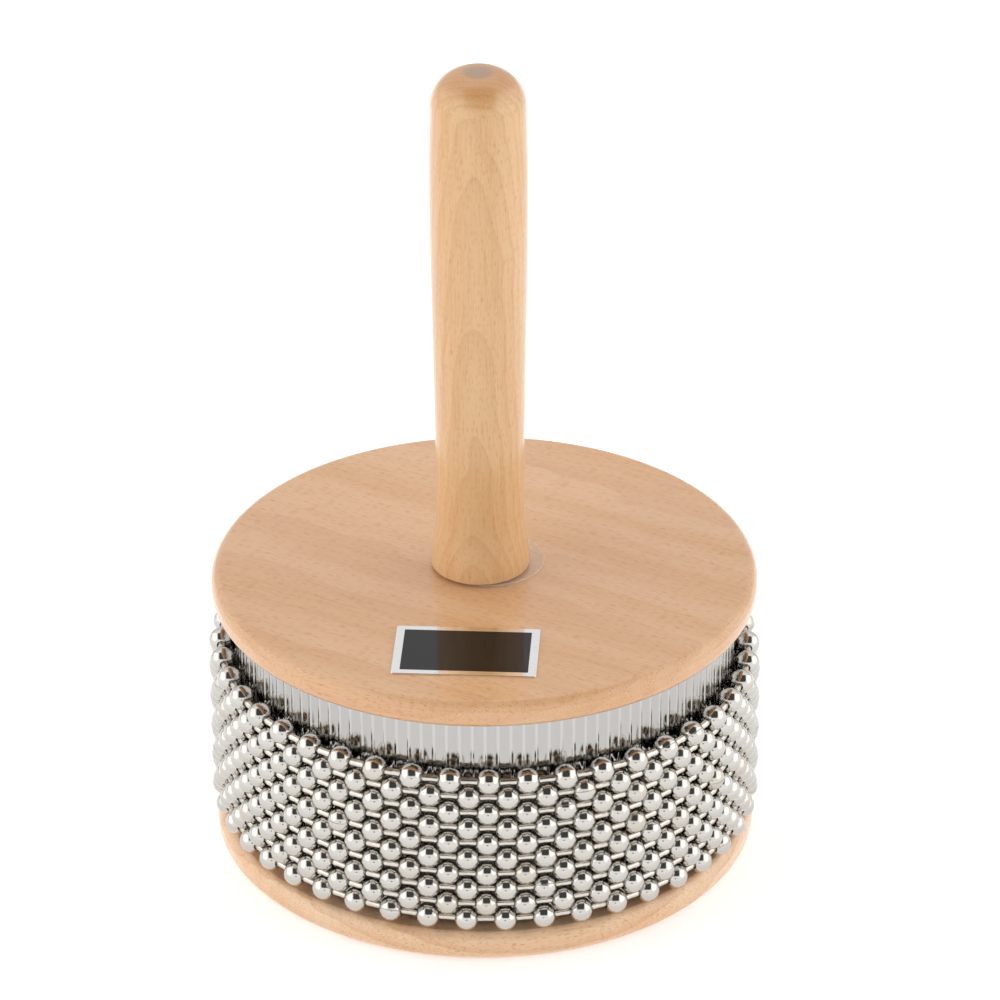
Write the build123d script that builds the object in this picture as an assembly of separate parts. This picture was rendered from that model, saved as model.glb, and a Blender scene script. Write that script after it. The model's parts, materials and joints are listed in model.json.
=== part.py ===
from build123d import *
import os
from math import acos, asin, cos, pi, radians, sin, sqrt

# Cabasa: a drum of two wooden end discs on a wooden core, wrapped in a ribbed steel sleeve.
# Loops of ball chain lie round the sleeve and turn on it. A turned handle is bolted on top.
# Millimetres. The drum's axis is +Z, the underside of the bottom disc is z = 0, the front is -Y.

# End discs
disc_diameter = 120.0
disc_thickness = 6.6
disc_edge_round = 3.0

# Ball chain loops
chain_loops = 10
bead_diameter = 5.5
bead_wall = 0.4
bead_lip = 0.64
bead_pitch = 8.45
bead_overhang = 1.05
bead_row_gap = 0.285
link_diameter = 1.2
link_swing_gap = 0.12
link_head_lap = 0.25
link_head_thickness = 0.45
link_head_play = 0.25
chain_rest_gap = 0.1
chain_sleeve_gap = 0.3
chain_turn_deg = 0.5
bare_band = 10.95

# Ribbed steel sleeve, its seam at the back and the tacks that hold the seam
rib_pitch = 2.75
rib_height = 0.45
rib_width = 1.95
sheet_thickness = 0.4
sleeve_end_gap = 0.3
seam_gap = 0.6
seam_margin = 5.0
tacks_per_side = 3
tack_diameter = 1.2
tack_length = 12.0
tack_head_diameter = 3.0
tack_head_thickness = 0.4
tack_end_distance = 7.0

# Tie bolt from the underside up into the handle
bolt_diameter = 8.0
bolt_engagement = 16.0
bolt_tip_chamfer = 0.8
bolt_head_diameter = 16.0
bolt_head_thickness = 3.0
bolt_head_round = 1.0
socket_across_flats = 5.0
socket_depth = 2.0
head_recess = 0.2
bolt_washer_diameter = 24.0
bolt_washer_thickness = 1.5

# Dowels that key each disc to the core
dowel_count = 3
dowel_diameter = 6.0
dowel_circle_diameter = 70.0
dowel_depth_in_disc = 4.0
dowel_depth_in_core = 10.0
dowel_end_gap = 0.4

# Handle, its threaded insert and the clear plastic washer under its foot
handle_length = 118.0
handle_foot_diameter = 21.6
handle_foot_round = 0.9
handle_waist_diameter = 19.2
handle_waist_height = 13.3
handle_swell_diameter = 21.1
handle_swell_below_top = 23.6
handle_end_diameter = 20.45
handle_end_round = 7.8
handle_end_flat_diameter = 8.6
insert_diameter = 12.0
insert_length = 20.0
insert_chamfer = 0.6
pad_washer_diameter = 24.0
pad_washer_bore = 13.0
pad_washer_thickness = 0.6
pad_washer_shift_deg = 42.0

# Foil plate stuck on the top disc
plate_width = 31.0
plate_depth = 20.0
plate_thickness = 0.3
plate_corner_round = 0.5
plate_centre_x = -4.0
plate_centre_y = -38.3
plate_turn_deg = -3.5

# Clearances
bolt_hole_gap = 0.25
thread_gap = 0.05
fit_gap = 0.05
washer_gap = 0.2

# Derived sizes: radii, from the discs inwards
disc_radius = disc_diameter / 2
bead_radius = bead_diameter / 2
ring_radius = disc_radius + bead_overhang - bead_radius
rib_crest_radius = ring_radius - bead_radius - chain_sleeve_gap
sleeve_land_radius = rib_crest_radius - rib_height
core_radius = sleeve_land_radius - sheet_thickness - fit_gap
bolt_radius = bolt_diameter / 2
bolt_hole_radius = bolt_radius + bolt_hole_gap

# Derived sizes: the ball chain, with every link on the chord between two beads
bead_count = round(2 * pi * ring_radius / bead_pitch)
bead_step_deg = 360 / bead_count
half_step = pi / bead_count
link_span = 2 * ring_radius * sin(half_step)
link_radius = link_diameter / 2
bead_hole_radius = link_radius + bead_radius * sin(half_step) + link_swing_gap
bead_end_radius = bead_hole_radius + bead_lip
bead_half_length = sqrt(bead_radius ** 2 - bead_end_radius ** 2)
bead_cavity_radius = bead_radius - bead_wall
bead_cavity_half_length = bead_half_length - bead_wall
link_head_radius = bead_hole_radius + link_head_lap
link_head_outer = bead_cavity_half_length - link_head_play
link_head_inner = link_head_outer - link_head_thickness
nested_offset = 2 * ring_radius * sin(half_step / 2)
nested_rise = sqrt(max(0.0, (bead_diameter + bead_row_gap) ** 2 - nested_offset ** 2))
row_pitch = max(nested_rise, bead_radius + link_radius + bead_row_gap)

# Derived sizes: heights, from the underside up
bottom_row_height = disc_thickness + chain_rest_gap + bead_radius
top_row_height = bottom_row_height + (chain_loops - 1) * row_pitch
core_top = top_row_height + bead_radius + bare_band
core_height = core_top - disc_thickness
drum_top = core_top + disc_thickness
handle_foot = drum_top + pad_washer_thickness
bolt_seat = head_recess + bolt_head_thickness
counterbore_depth = bolt_seat + bolt_washer_thickness
counterbore_radius = bolt_washer_diameter / 2 + bolt_hole_gap
bolt_tip = handle_foot + bolt_engagement
pad_washer_shift = pad_washer_bore / 2 - bolt_radius - washer_gap


def cylinder_between(radius, low, high):
    """Upright cylinder on the drum's axis from one height to another."""
    return Pos(0, 0, low) * Cylinder(radius, high - low, align=(Align.CENTER, Align.CENTER, Align.MIN))


def polar(radius, angle_deg, height=0.0):
    """Point at a radius and an angle about the drum's axis."""
    return (radius * cos(radians(angle_deg)), radius * sin(radians(angle_deg)), height)


def dowel_places():
    """Places of the dowels on their circle, one of them at the back."""
    return [polar(dowel_circle_diameter / 2, 90 + i * 360 / dowel_count) for i in range(dowel_count)]


def tack_places():
    """Angle and height of each tack, in two rows beside the seam."""
    offset_deg = (seam_gap / 2 + seam_margin / 2) / sleeve_land_radius * 180 / pi
    low = disc_thickness + tack_end_distance
    step = (core_height - 2 * tack_end_distance) / (tacks_per_side - 1)
    return [(90 + side * offset_deg, low + i * step) for side in (-1, 1) for i in range(tacks_per_side)]


def radial_rod(radius, inner, outer, angle_deg, height):
    """Rod that points straight out from the drum's axis, between two distances from it."""
    rod = Cylinder(radius, outer - inner, align=(Align.CENTER, Align.CENTER, Align.MIN))
    return Pos(0, 0, height) * Rot(0, 0, angle_deg) * Rot(0, 90, 0) * Pos(0, 0, inner) * rod


def rounded_disc(low):
    """Round board with both of its rim edges rounded over."""
    board = cylinder_between(disc_radius, low, low + disc_thickness)
    rim_round = min(disc_edge_round, 0.48 * disc_thickness)
    return fillet(board.edges().filter_by(GeomType.CIRCLE), rim_round)


def make_top_disc():
    """Top board, bored for the bolt and blind-bored from below for its dowels."""
    disc = rounded_disc(core_top)
    disc -= cylinder_between(bolt_hole_radius, core_top, drum_top)
    hole = cylinder_between(dowel_diameter / 2 + fit_gap, core_top, core_top + dowel_depth_in_disc)
    return disc - [Pos(*place) * hole for place in dowel_places()]


def make_bottom_disc():
    """Bottom board, counterbored from below for the bolt head and its washer."""
    disc = rounded_disc(0)
    disc -= cylinder_between(bolt_hole_radius, 0, disc_thickness)
    disc -= cylinder_between(counterbore_radius, 0, counterbore_depth)
    hole = cylinder_between(dowel_diameter / 2 + fit_gap, disc_thickness - dowel_depth_in_disc, disc_thickness)
    return disc - [Pos(*place) * hole for place in dowel_places()]


def make_core():
    """Solid wooden core, bored for the bolt, the dowels at both ends and the tacks."""
    core = cylinder_between(core_radius, disc_thickness, core_top)
    core -= cylinder_between(bolt_hole_radius, disc_thickness, core_top)
    hole_radius = dowel_diameter / 2 + fit_gap
    low_hole = cylinder_between(hole_radius, disc_thickness, disc_thickness + dowel_depth_in_core)
    high_hole = cylinder_between(hole_radius, core_top - dowel_depth_in_core, core_top)
    core -= [Pos(*place) * hole for place in dowel_places() for hole in (low_hole, high_hole)]
    depth = sleeve_land_radius - tack_length - fit_gap
    tack_hole_radius = tack_diameter / 2 + fit_gap
    return core - [radial_rod(tack_hole_radius, depth, core_radius + 1, *place) for place in tack_places()]


def make_dowels(joint_height, into_disc):
    """Dowels across the joint between the core and a disc, which lies on the side given."""
    disc_end = joint_height + into_disc * (dowel_depth_in_disc - dowel_end_gap)
    core_end = joint_height - into_disc * (dowel_depth_in_core - dowel_end_gap)
    dowel = cylinder_between(dowel_diameter / 2, min(disc_end, core_end), max(disc_end, core_end))
    return Compound(children=[Pos(*place) * dowel for place in dowel_places()])


def ribbed_line(land_radius, crest_radius, width):
    """Open outline round the sleeve: plain margins at the seam, and an arc over each rib."""
    slit_deg = seam_gap / 2 / sleeve_land_radius * 180 / pi
    margin_deg = slit_deg + seam_margin / sleeve_land_radius * 180 / pi
    span_deg = 360 - 2 * margin_deg
    rib_count = round(radians(span_deg) * rib_crest_radius / rib_pitch)
    step_deg = span_deg / rib_count
    half_deg = asin(width / 2 / land_radius) * 180 / pi
    edges = []
    land_start = 90 + slit_deg
    for i in range(rib_count):
        middle = 90 + margin_deg + (i + 0.5) * step_deg
        rib_start, rib_end = middle - half_deg, middle + half_deg
        edges.append(arc_at(land_radius, land_radius, land_start, rib_start))
        edges.append(arc_at(land_radius, crest_radius, rib_start, rib_end))
        land_start = rib_end
    edges.append(arc_at(land_radius, land_radius, land_start, 450 - slit_deg))
    return edges


def arc_at(end_radius, middle_radius, start_deg, end_deg):
    """Arc whose ends lie at one radius and whose middle lies at another."""
    middle_deg = (start_deg + end_deg) / 2
    return ThreePointArc(
        polar(end_radius, start_deg), polar(middle_radius, middle_deg), polar(end_radius, end_deg)
    )


def make_sleeve():
    """Pressed steel sheet wrapped round the core, butted at the seam, with a hole for each tack."""
    inner_width = rib_width - sheet_thickness
    outside = ribbed_line(sleeve_land_radius, rib_crest_radius, rib_width)
    inside = ribbed_line(sleeve_land_radius - sheet_thickness, rib_crest_radius - sheet_thickness, inner_width)
    seam_lines = [Line(outside[0] @ 0, inside[0] @ 0), Line(outside[-1] @ 1, inside[-1] @ 1)]
    section = make_face(outside + inside + seam_lines)
    low = disc_thickness + sleeve_end_gap
    sleeve = Pos(0, 0, low) * extrude(section, core_height - 2 * sleeve_end_gap, dir=(0, 0, 1))
    hole_radius = tack_diameter / 2 + fit_gap
    return sleeve - [
        radial_rod(hole_radius, core_radius - 1, rib_crest_radius + 1, *place) for place in tack_places()
    ]


def make_tacks():
    """Round-headed tacks through the sleeve's margins into the core."""
    head_seat = sleeve_land_radius + fit_gap
    tacks = []
    for angle_deg, height in tack_places():
        shank = radial_rod(tack_diameter / 2, sleeve_land_radius - tack_length, head_seat, angle_deg, height)
        head_top = head_seat + tack_head_thickness
        tacks.append(shank + radial_rod(tack_head_diameter / 2, head_seat, head_top, angle_deg, height))
    return Compound(children=tacks)


def revolve_outline(points):
    """Solid of revolution about X of a closed outline given as (along the axis, radius) points."""
    return revolve(make_face(Polyline([*points, points[0]])), Axis.X)


def make_bead():
    """Hollow bead about the origin with its holes along X: a ball with both ends cut off flat."""
    outside = ThreePointArc(
        (-bead_half_length, bead_end_radius), (0, bead_radius), (bead_half_length, bead_end_radius)
    )
    cavity_end_radius = sqrt(bead_cavity_radius ** 2 - bead_cavity_half_length ** 2)
    inside = ThreePointArc(
        (-bead_cavity_half_length, cavity_end_radius),
        (0, bead_cavity_radius),
        (bead_cavity_half_length, cavity_end_radius),
    )
    end_walls = [
        Polyline(
            [
                (side * bead_half_length, bead_end_radius),
                (side * bead_half_length, bead_hole_radius),
                (side * bead_cavity_half_length, bead_hole_radius),
                (side * bead_cavity_half_length, cavity_end_radius),
            ]
        )
        for side in (-1, 1)
    ]
    return revolve(make_face([outside, inside, *end_walls]), Axis.X)


def make_link():
    """Straight rod along X with a round head at each end, each head caught inside a bead."""
    half_span = link_span / 2
    head_far = half_span - link_head_inner
    head_near = half_span - link_head_outer
    return revolve_outline(
        [
            (-head_far, 0),
            (-head_far, link_head_radius),
            (-head_near, link_head_radius),
            (-head_near, link_radius),
            (head_near, link_radius),
            (head_near, link_head_radius),
            (head_far, link_head_radius),
            (head_far, 0),
        ]
    )


def round_the_drum(shape, radius, first_deg, height):
    """One copy of a shape for each bead of a loop, set along the loop."""
    copies = []
    for i in range(bead_count):
        angle_deg = first_deg + i * bead_step_deg
        place = Pos(*polar(radius, angle_deg, height)) * Rot(0, 0, angle_deg + 90)
        copies.append(place * shape)
    return Compound(children=copies)


def smooth_span(low, high):
    """Curve between two (radius, height) points that leaves the one and meets the other upright."""
    third = (high[1] - low[1]) / 3
    return Bezier(low, (low[0], low[1] + third), (high[0], high[1] - third), high)


def make_handle():
    """Turned handle: a flared foot, a waist, a swell and a rounded end with a small flat."""
    foot_radius = handle_foot_diameter / 2
    end_radius = handle_end_diameter / 2
    flat_radius = handle_end_flat_diameter / 2
    round_centre = end_radius - handle_end_round
    round_angle = acos((flat_radius - round_centre) / handle_end_round)
    round_base = handle_length - handle_end_round * sin(round_angle)
    foot_top = (foot_radius, handle_foot_round)
    waist = (handle_waist_diameter / 2, handle_waist_height)
    swell = (handle_swell_diameter / 2, handle_length - handle_swell_below_top)
    round_start = (end_radius, round_base)
    flank = [smooth_span(foot_top, waist), smooth_span(waist, swell), smooth_span(swell, round_start)]
    end_arc = ThreePointArc(
        round_start,
        (
            round_centre + handle_end_round * cos(round_angle / 2),
            round_base + handle_end_round * sin(round_angle / 2),
        ),
        (flat_radius, handle_length),
    )
    corner_middle = handle_foot_round * (1 - sqrt(0.5))
    foot_corner = ThreePointArc(
        (foot_radius - handle_foot_round, 0), (foot_radius - corner_middle, corner_middle), foot_top
    )
    axis_lines = Polyline(
        [(flat_radius, handle_length), (0, handle_length), (0, 0), (foot_radius - handle_foot_round, 0)]
    )
    outline = Plane.XZ * make_face([foot_corner, *flank, end_arc, axis_lines])
    handle = Pos(0, 0, handle_foot) * revolve(outline, Axis.Z)
    return handle - cylinder_between(insert_diameter / 2 + fit_gap, handle_foot, handle_foot + insert_length)


def make_insert():
    """Threaded brass insert, flush with the handle's foot."""
    insert = cylinder_between(insert_diameter / 2, handle_foot, handle_foot + insert_length)
    insert = chamfer(insert.edges().filter_by(GeomType.CIRCLE), insert_chamfer)
    return insert - cylinder_between(bolt_radius + thread_gap, handle_foot, handle_foot + insert_length)


def make_bolt():
    """Long bolt with a low round head, a hex socket and a chamfered tip."""
    head = cylinder_between(bolt_head_diameter / 2, head_recess, bolt_seat)
    head = fillet(head.edges().sort_by(Axis.Z)[0], min(bolt_head_round, 0.6 * bolt_head_thickness))
    shank = cylinder_between(bolt_radius, bolt_seat, bolt_tip)
    shank = chamfer(shank.edges().sort_by(Axis.Z)[-1], bolt_tip_chamfer)
    socket_sketch = RegularPolygon(socket_across_flats / 2, 6, major_radius=False)
    socket = Pos(0, 0, head_recess) * extrude(socket_sketch, min(socket_depth, 0.8 * bolt_head_thickness))
    return head + shank - socket


def make_bolt_washer():
    """Flat steel washer between the bolt head and the bottom disc."""
    ring = cylinder_between(bolt_washer_diameter / 2, bolt_seat, counterbore_depth)
    return ring - cylinder_between(bolt_hole_radius, bolt_seat, counterbore_depth)


def make_pad_washer():
    """Clear plastic washer under the handle's foot, slid over until its bore meets the bolt."""
    ring = cylinder_between(pad_washer_diameter / 2, drum_top, handle_foot)
    ring -= cylinder_between(pad_washer_bore / 2, drum_top, handle_foot)
    return Pos(*polar(pad_washer_shift, pad_washer_shift_deg)) * ring


def make_plate():
    """Thin foil plate on the top disc, in front of the handle."""
    outline = RectangleRounded(plate_width, plate_depth, plate_corner_round)
    plate = Pos(plate_centre_x, plate_centre_y, drum_top) * Rot(0, 0, plate_turn_deg) * outline
    return extrude(plate, plate_thickness)


def make_chains():
    """Beads and links of every loop, from the top loop down, each nested in the one below it."""
    bead = make_bead()
    link = make_link()
    nodes = {}
    for loop in range(chain_loops):
        height = top_row_height - loop * row_pitch
        first_deg = -90 + chain_turn_deg + (loop % 2) * bead_step_deg / 2
        name = f"chain_{loop + 1:02d}"
        nodes[name + "_beads"] = round_the_drum(bead, ring_radius, first_deg, height)
        link_radius_from_axis = ring_radius * cos(half_step)
        nodes[name + "_links"] = round_the_drum(
            link, link_radius_from_axis, first_deg + bead_step_deg / 2, height
        )
    return nodes


nodes = {
    "handle": make_handle(),
    "handle_insert": make_insert(),
    "handle_pad_washer": make_pad_washer(),
    "top_disc": make_top_disc(),
    "bottom_disc": make_bottom_disc(),
    "core_drum": make_core(),
    "ribbed_sleeve": make_sleeve(),
    "sleeve_tacks": make_tacks(),
    "tie_bolt": make_bolt(),
    "tie_bolt_washer": make_bolt_washer(),
    "top_disc_dowels": make_dowels(core_top, 1),
    "bottom_disc_dowels": make_dowels(disc_thickness, -1),
    "label_plate": make_plate(),
    **make_chains(),
}

os.makedirs("parts", exist_ok=True)
for name, shape in nodes.items():
    export_step(shape, f"parts/{name}.step")

print("beads in a loop", bead_count, "row pitch", round(row_pitch, 3), "link span", round(link_span, 3))
print("drum height", round(drum_top, 2), "total height", round(handle_foot + handle_length, 2))
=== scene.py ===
import json
from math import acos, asin, cos, degrees, pi, radians, sin, sqrt

import bpy
import numpy as np
from bpy.props import FloatProperty, FloatVectorProperty, IntProperty, PointerProperty
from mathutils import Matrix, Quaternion, Vector

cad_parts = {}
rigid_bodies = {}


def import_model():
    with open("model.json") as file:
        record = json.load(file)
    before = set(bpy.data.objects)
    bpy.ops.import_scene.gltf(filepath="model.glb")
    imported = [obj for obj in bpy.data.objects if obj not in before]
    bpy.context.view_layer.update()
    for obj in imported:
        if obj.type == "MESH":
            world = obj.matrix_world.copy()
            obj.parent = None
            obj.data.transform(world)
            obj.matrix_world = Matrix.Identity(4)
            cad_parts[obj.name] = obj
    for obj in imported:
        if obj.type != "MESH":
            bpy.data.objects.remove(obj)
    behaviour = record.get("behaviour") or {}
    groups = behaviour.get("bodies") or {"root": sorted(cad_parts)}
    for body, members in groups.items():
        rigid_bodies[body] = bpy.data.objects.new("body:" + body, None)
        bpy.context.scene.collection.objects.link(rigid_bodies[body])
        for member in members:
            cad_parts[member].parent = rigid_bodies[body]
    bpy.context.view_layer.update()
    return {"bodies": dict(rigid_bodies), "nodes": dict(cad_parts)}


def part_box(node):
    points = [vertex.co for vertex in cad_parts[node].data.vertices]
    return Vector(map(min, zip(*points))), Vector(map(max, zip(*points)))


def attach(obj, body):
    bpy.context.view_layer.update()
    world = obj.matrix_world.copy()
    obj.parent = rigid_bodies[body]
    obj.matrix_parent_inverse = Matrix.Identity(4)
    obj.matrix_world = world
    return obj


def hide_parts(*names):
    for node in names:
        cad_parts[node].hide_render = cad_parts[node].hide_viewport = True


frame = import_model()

bl_info = {
    "name": "Cabasa",
    "version": (1, 0, 0),
    "blender": (4, 5, 0),
    "location": "View3D > Sidebar > Cabasa",
    "description": "Models and finishes the pieces of a cabasa around its packed frame",
    "category": "Object",
}

MM = 0.001
DRUM = "drum"
LOOP_BODIES = sorted(name for name in frame["bodies"] if name.startswith("chain_loop_"))

# Steps round each kind of turned piece
STEPS = {"board": 192, "handle": 96, "washer": 96, "tack": 20, "bead": 16, "link": 12}


# Settings

def size(name, description, millimetres):
    """Length property with its default given in millimetres."""
    return FloatProperty(
        name=name, description=description, default=millimetres * MM, min=0.0, unit="LENGTH", precision=5
    )


def turn(name, description, angle):
    """Angle property with its default given in degrees."""
    return FloatProperty(name=name, description=description, default=radians(angle), unit="ROTATION")


def level(name, description, default):
    """Plain number from 0 upwards, such as a roughness or a brightness."""
    return FloatProperty(name=name, description=description, default=default, min=0.0)


def paint(name, description, red, green, blue):
    """Colour property with its default given as display values from 0 to 255."""
    return FloatVectorProperty(
        name=name,
        description=description,
        subtype="COLOR",
        size=3,
        min=0.0,
        max=1.0,
        default=[linear(value / 255) for value in (red, green, blue)],
    )


def linear(value):
    """Light level of a display value, both from 0 to 1."""
    return value / 12.92 if value <= 0.04045 else ((value + 0.055) / 1.055) ** 2.4


class DiscSettings(bpy.types.PropertyGroup):
    """Sizes and colours of the two end discs."""
    radius: size("Radius", "Outer radius of a disc", 60.0)
    edge_round: size("Edge rounding", "Radius of the rounded rim edges", 2.6)
    quirk: size("Quirk", "Depth of the fine line that the rounding cutter left on the rim", 0.13)
    quirk_width: size("Quirk width", "Height of the slope that leads into that line", 0.3)
    quirk_rise: turn("Quirk place", "Direction of that line from the upper rounding's centre", 14.0)
    crease: turn("Crease", "Bend between the upper rounding and the flat top", 14.0)
    hole_radius: size("Bolt hole radius", "Radius of the hole for the tie bolt", 4.25)
    recess_radius: size("Recess radius", "Radius of the recess for the bolt head", 12.25)
    recess_depth: size("Recess depth", "Depth of the recess under the bottom disc", 4.7)
    colour: paint("Colour", "Main colour of the beech", 220, 168, 117)
    pale_colour: paint("Pale colour", "Colour of its paler bands", 229, 184, 140)
    fleck_colour: paint("Fleck colour", "Colour of its short dark flecks", 192, 112, 56)
    lower_colour: paint("Lower colour", "Main colour of the bottom disc", 238, 190, 142)
    lower_pale_colour: paint("Lower pale colour", "Colour of the bottom disc's paler bands", 246, 210, 172)
    grain_turn: turn("Grain direction", "Direction of the top disc's grain from +X", -31.0)
    lower_grain_turn: turn("Lower grain direction", "Direction of the bottom disc's grain from +X", 14.0)


class HandleSettings(bpy.types.PropertyGroup):
    """Sizes and colours of the turned handle."""
    foot_radius: size("Foot radius", "Radius of the flared foot", 10.8)
    foot_round: size("Foot rounding", "Radius of the foot's lower edge", 0.3)
    waist_radius: size("Waist radius", "Radius at the waist", 9.6)
    waist_height: size("Waist height", "Height of the waist above the foot", 13.3)
    swell_radius: size("Swell radius", "Radius at the swell", 10.55)
    swell_below_top: size("Swell below top", "Distance of the swell below the end", 23.6)
    end_radius: size("End radius", "Radius where the rounding of the end starts", 10.225)
    end_round: size("End rounding", "Radius of the rounded end", 7.8)
    flat_radius: size("Flat radius", "Radius of the flat on the end", 4.3)
    off_axis: size("Off axis", "How far to the left of the drum's axis the handle is bolted on", 0.85)
    colour: paint("Colour", "Main colour of the handle", 218, 168, 112)
    pale_colour: paint("Pale colour", "Colour of its paler stripes", 231, 189, 138)
    fleck_colour: paint("Fleck colour", "Colour of its short dark flecks", 190, 120, 66)
    end_colour: paint("End colour", "Colour of the bare end grain", 170, 138, 111)


class SleeveSettings(bpy.types.PropertyGroup):
    """Sizes and colour of the ribbed sleeve and its tacks."""
    crest_radius: size("Crest radius", "Radius of the drum over the ribs", 55.25)
    land_drop: size("Land drop", "How far the plain margins lie below the ribs", 0.45)
    rib_height: size("Rib height", "Height of the narrow ribs", 0.09)
    rib_width: size("Rib width", "Width of the narrow ribs at their feet", 1.25)
    bow: size("Bow", "How far the sheet bulges between the ribs", 0.14)
    rib_pitch: size("Rib pitch", "Distance from rib to rib", 2.75)
    # These three set painted shade: the sheet's colour is darkened behind the chain loops, where shade falls
    # between and behind the beads
    chain_shade_top: size("Tarnish height", "Height up to which the sheet is tarnished by the chains", 47.0)
    chain_shade: level("Tarnish", "Share of its colour that the tarnished sheet keeps", 0.92)
    chain_shade_fade: size("Tarnish fade", "Height over which the tarnish fades out", 1.6)
    sheet: size("Sheet", "Thickness of the sheet", 0.4)
    seam_gap: size("Seam gap", "Gap at the seam", 0.6)
    seam_margin: size("Seam margin", "Plain margin on each side of the seam", 5.0)
    tack_radius: size("Tack head radius", "Radius of a tack's head", 1.5)
    tack_height: size("Tack head height", "Height of a tack's head", 0.4)
    tack_rows: IntProperty(name="Tacks", description="Tacks on each side of the seam", default=3, min=2)
    colour: paint("Colour", "Colour of the bright steel", 181, 179, 176)
    # Painted highlight: the ribs' crests get a lighter colour that stands for the bright line each rib
    # reflects
    crest_highlight_colour: paint("Crest colour", "Colour of the burnished ribs", 193, 192, 189)


class ChainSettings(bpy.types.PropertyGroup):
    """Sizes and colours of the ball chain loops."""
    beads: IntProperty(name="Beads", description="Beads in a loop", default=43, min=3)
    ring_radius: size("Loop radius", "Radius of the circle through the beads' centres", 58.3)
    bead_radius: size("Bead radius", "Radius of a bead", 2.79)
    hole_radius: size("Hole radius", "Radius of the holes in a bead", 0.92)
    lip: size("Lip", "Width of the flat lip round a hole", 0.38)
    link_radius: size("Link radius", "Radius of a link's rod", 0.8)
    link_reach: size("Link reach", "How far a link's rod goes into a bead", 0.6)
    sway: size("Sway", "How far a loop wanders up and down", 0.07)
    lift: size("Lift", "How far the bottom loop lies above its lowest place", 0.8)
    lean: size("Lean", "How far the top loop is pushed up on the left and down on the right", 1.15)
    first_turn: turn("Loop position", "Direction of the top loop's front bead from +X", -89.3)
    row_turn: turn("Loop slip", "How far each loop has slipped past the one above it", 0.08)
    bunch: level("Bunching", "Share by which the beads lie closer together at the front", 0.022)
    loose: level("Loose", "Share of the beads that are rolled any way round", 0.12)
    worn: level("Worn", "Share of the beads that are worn dull", 0.08)
    seamed: level("Seamed", "Share of the beads whose seam shows", 0.11)
    colour: paint("Colour", "Colour of the nickel plate", 203, 200, 195)
    dull_colour: paint("Dull colour", "Colour of worn beads", 192, 180, 162)
    link_colour: paint("Link colour", "Colour of the links", 212, 206, 196)
    seed: IntProperty(name="Seed", description="Seed of the beads' differences", default=7)


class TrimSettings(bpy.types.PropertyGroup):
    """Sizes and colours of the pad washer, the foil plate and the fasteners."""
    washer_radius: size("Washer radius", "Radius of the clear washer", 12.2)
    washer_slip: size("Washer slip", "How far the washer lies to the left of its modelled place", 0.65)
    washer_bore: size("Washer bore", "Radius of the clear washer's hole", 6.5)
    plate_width: size("Plate width", "Width of the foil plate", 31.0)
    plate_depth: size("Plate depth", "Depth of the foil plate", 20.0)
    plate_corner: size("Plate corner", "Radius of the plate's corners", 0.5)
    plate_turn: turn("Plate turn", "How far the plate is turned", -3.5)
    border_side: size("Side border", "Silver border on the plate's short sides", 1.8)
    border_front: size("Front border", "Silver border on the plate's long sides", 1.6)
    field_corner: size("Field corner", "Radius of the dark field's corners", 0.15)
    field_height: size("Field height", "How far the dark field stands above the foil", 0.03)
    foil_colour: paint("Foil colour", "Colour of the silver border", 241, 241, 240)
    field_colour: paint("Field colour", "Colour of the dark field", 20, 18, 17)
    washer_colour: paint("Washer colour", "Tint of the clear plastic", 250, 246, 238)
    steel_colour: paint("Steel colour", "Colour of the zinc-plated fasteners", 205, 207, 210)
    brass_colour: paint("Brass colour", "Colour of the threaded insert", 206, 170, 96)
    core_colour: paint("Core colour", "Colour of the bare core wood", 222, 190, 150)


class StageSettings(bpy.types.PropertyGroup):
    """The white tent that the cabasa stands in, and the camera."""
    floor_size: size("Floor size", "Width of the floor", 8000.0)
    floor_depth: size("Floor depth", "How far the floor lies below the underside", 0.05)
    floor_colour: paint("Floor colour", "Colour of the floor", 250, 250, 250)
    floor_lift: level("Floor lift", "How much the floor is lifted to white where it is seen", 0.4)
    floor_glow: level("Floor glow", "How much light the floor gives off besides what it scatters", 0.12)
    tent_level: level("Tent brightness", "Brightness of the tent's walls beside the camera", 1.24)
    back_level: level("Back brightness", "Brightness of the tent's wall behind the cabasa", 0.76)
    panel_level: level("Panel brightness", "Brightness of the soft panels at the sides", 1.8)
    opening_level: level("Opening brightness", "Brightness of the opening above the camera", 0.075)
    tent_rise: turn("Tent direction", "Direction about which the tent is laid out, above the floor", 30.7)
    camera_back: size("Camera distance", "Distance of the camera in front of the drum's axis", 1111.0)
    camera_height: size("Camera height", "Height of the camera above the floor", 699.0)
    camera_pitch: turn("Camera pitch", "How far the camera looks down", 29.09)
    camera_yaw: turn("Camera yaw", "How far the camera looks to the right", 0.179)
    camera_roll: turn("Camera roll", "How far the camera is rolled", -0.17)
    lens: level("Lens", "Focal length in millimetres on a 36 mm sensor", 209.6)


SETTINGS = {
    "cabasa_discs": DiscSettings,
    "cabasa_handle": HandleSettings,
    "cabasa_sleeve": SleeveSettings,
    "cabasa_chains": ChainSettings,
    "cabasa_trim": TrimSettings,
    "cabasa_stage": StageSettings,
}


# Surfaces

def grid_faces(rows, columns, wrap_columns):
    """Quads of a closed ring of rows, each of so many columns, as corner numbers row * columns + column."""
    row = np.arange(rows)[:, None]
    column = np.arange(columns if wrap_columns else columns - 1)[None, :]
    next_row = (row + 1) % rows
    next_column = (column + 1) % columns
    corners = [row * columns + column, next_row * columns + column]
    corners += [next_row * columns + next_column, row * columns + next_column]
    return np.stack(corners, -1).reshape(-1, 4)


def grid_map(rows, columns, wrap_columns):
    """Places of the same quads' corners on a unit square, around and along."""
    spans = columns if wrap_columns else columns - 1
    row, column = np.meshgrid(np.arange(rows), np.arange(spans), indexing="ij")
    around = np.stack([row, row + 1, row + 1, row], -1) / rows
    along = np.stack([column, column, column + 1, column + 1], -1) / columns
    return np.stack([around, along], -1).reshape(-1, 2)


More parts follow.
